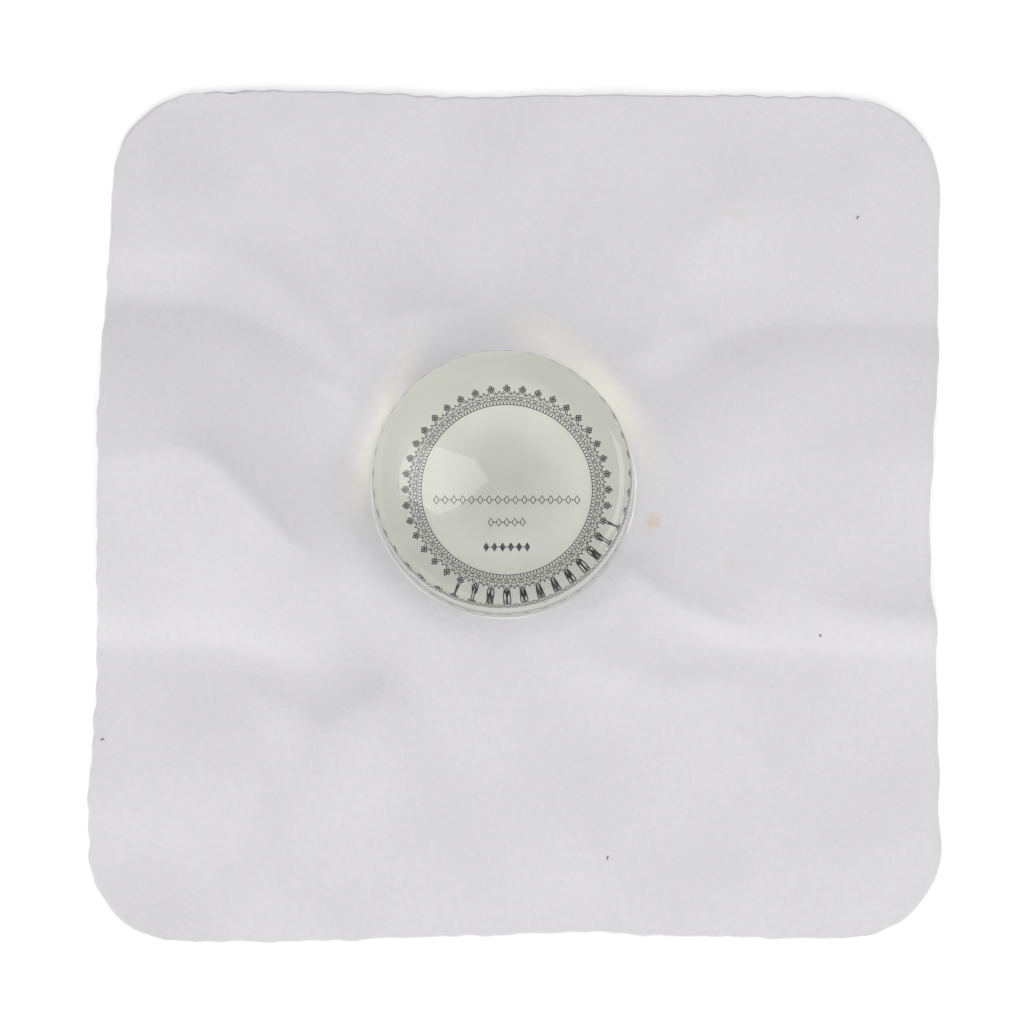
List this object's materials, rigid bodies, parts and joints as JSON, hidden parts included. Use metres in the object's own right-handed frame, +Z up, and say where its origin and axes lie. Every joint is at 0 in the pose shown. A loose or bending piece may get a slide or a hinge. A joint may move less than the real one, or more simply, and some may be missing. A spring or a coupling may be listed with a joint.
{
  "type": "rosin cake",
  "caption": "Clear round rosin cake with a rounded edge, glued over a printed label disc to a square brushed-cotton cloth that folds up around it.",
  "frame": {"origin": "on the cake's axis, at the underside of the cloth", "axes": "+Z up through the cake to its rubbing face; X and Y along the cloth's edges, with the back flap towards +Y and the front flap towards -Y"},
  "size_m": [0.128, 0.128, 0.0122],
  "materials": {
    "rosin": "clear cast resin, polished",
    "label": "printed film",
    "adhesive": "clear glue",
    "cloth": "brushed cotton flannel"
  },
  "bodies": {
    "base": {"rosin_cake": "rosin", "label_disc": "label", "adhesive_pad": "adhesive", "cloth_centre": "cloth"},
    "back_riser": {"cloth_back_riser": "cloth"},
    "back_cover": {"cloth_back_cover": "cloth"},
    "front_riser": {"cloth_front_riser": "cloth"},
    "front_cover": {"cloth_front_cover": "cloth"}
  },
  "joints": [
    {"name": "back_fold", "type": "hinge", "parent": "base", "child": "back_riser", "pos_m": [0, 0.025, 0.001], "axis": [1, 0, 0], "range_deg": [0, 105.74]},
    {"name": "back_cover_fold", "type": "hinge", "parent": "back_riser", "child": "back_cover", "pos_m": [0, 0.0376, 0.001], "axis": [1, 0, 0], "range_deg": [0, 74.26]},
    {"name": "front_fold", "type": "hinge", "parent": "base", "child": "front_riser", "pos_m": [0, -0.025, 0.001], "axis": [-1, 0, 0], "range_deg": [0, 105]},
    {"name": "front_cover_fold", "type": "hinge", "parent": "front_riser", "child": "front_cover", "pos_m": [0, -0.0394, 0.001], "axis": [-1, 0, 0], "range_deg": [0, 75]}
  ],
  "couplings": [
    {"joint": "back_cover_fold", "follows": "back_fold", "ratio": 0.7022},
    {"joint": "front_cover_fold", "follows": "front_fold", "ratio": 0.7142}
  ]
}
